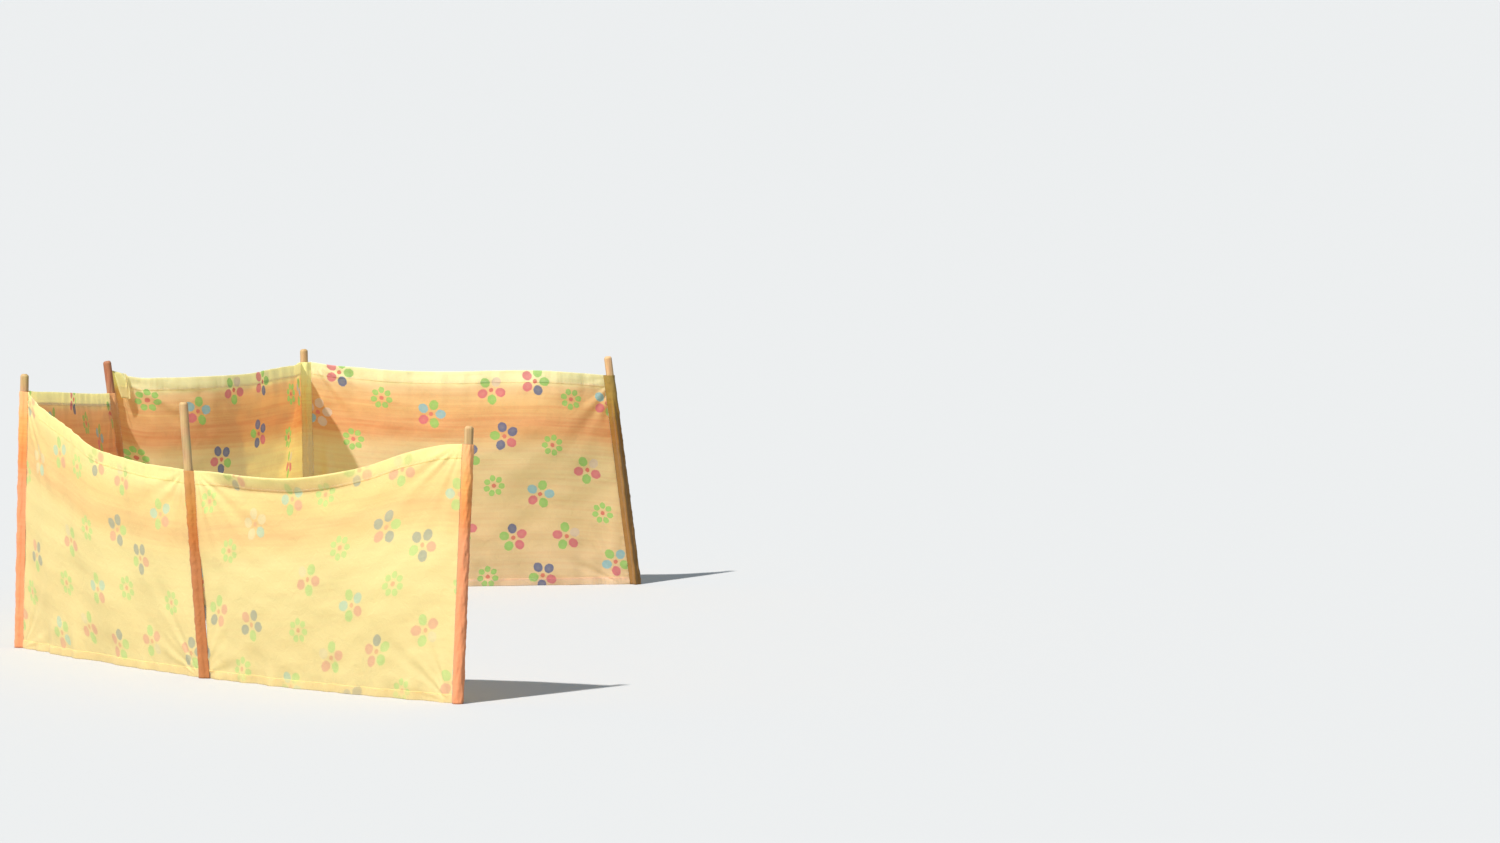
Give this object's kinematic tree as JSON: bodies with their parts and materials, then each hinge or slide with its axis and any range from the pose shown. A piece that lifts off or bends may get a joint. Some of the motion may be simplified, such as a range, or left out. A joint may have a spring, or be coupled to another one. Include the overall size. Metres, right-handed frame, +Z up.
{
  "type": "beach windbreak",
  "caption": "Beach windbreak: bays of hemmed, printed cloth with a sewn pocket on each round wooden pole, set out as a bent row round a sheltered space that is open on one side.",
  "frame": {"origin": "centre of the foot of pole 1, at the free front end of the row, at ground level", "axes": "+Z up; +Y from the front end of the row to its back, the row's longest extent; +X to the open side of the sheltered space"},
  "size_m": [1.8148, 3.5671, 0.8081],
  "materials": {
    "pole_wood": "sanded bare wood, weathered honey brown",
    "panel_cloth": "thin printed woven cotton, matt, lets the sun through",
    "hem_cloth": "the same cloth folded double, matt",
    "pocket_cloth": "the same cloth sewn to a tube, matt"
  },
  "bodies": {
    "root": {"pole_1": "pole_wood", "pole_2": "pole_wood", "pole_3": "pole_wood", "pole_4": "pole_wood", "pole_5": "pole_wood", "pole_6": "pole_wood", "pole_pocket_1": "pocket_cloth", "pole_pocket_2": "pocket_cloth", "pole_pocket_3": "pocket_cloth", "pole_pocket_4": "pocket_cloth", "pole_pocket_5": "pocket_cloth", "pole_pocket_6": "pocket_cloth", "cloth_panel_1": "panel_cloth", "cloth_panel_2": "panel_cloth", "cloth_panel_3": "panel_cloth", "cloth_panel_4": "panel_cloth", "cloth_panel_5": "panel_cloth", "top_hem_1": "hem_cloth", "top_hem_2": "hem_cloth", "top_hem_3": "hem_cloth", "top_hem_4": "hem_cloth", "top_hem_5": "hem_cloth", "bottom_hem_1": "hem_cloth", "bottom_hem_2": "hem_cloth", "bottom_hem_3": "hem_cloth", "bottom_hem_4": "hem_cloth", "bottom_hem_5": "hem_cloth"}
  },
  "joints": []
}
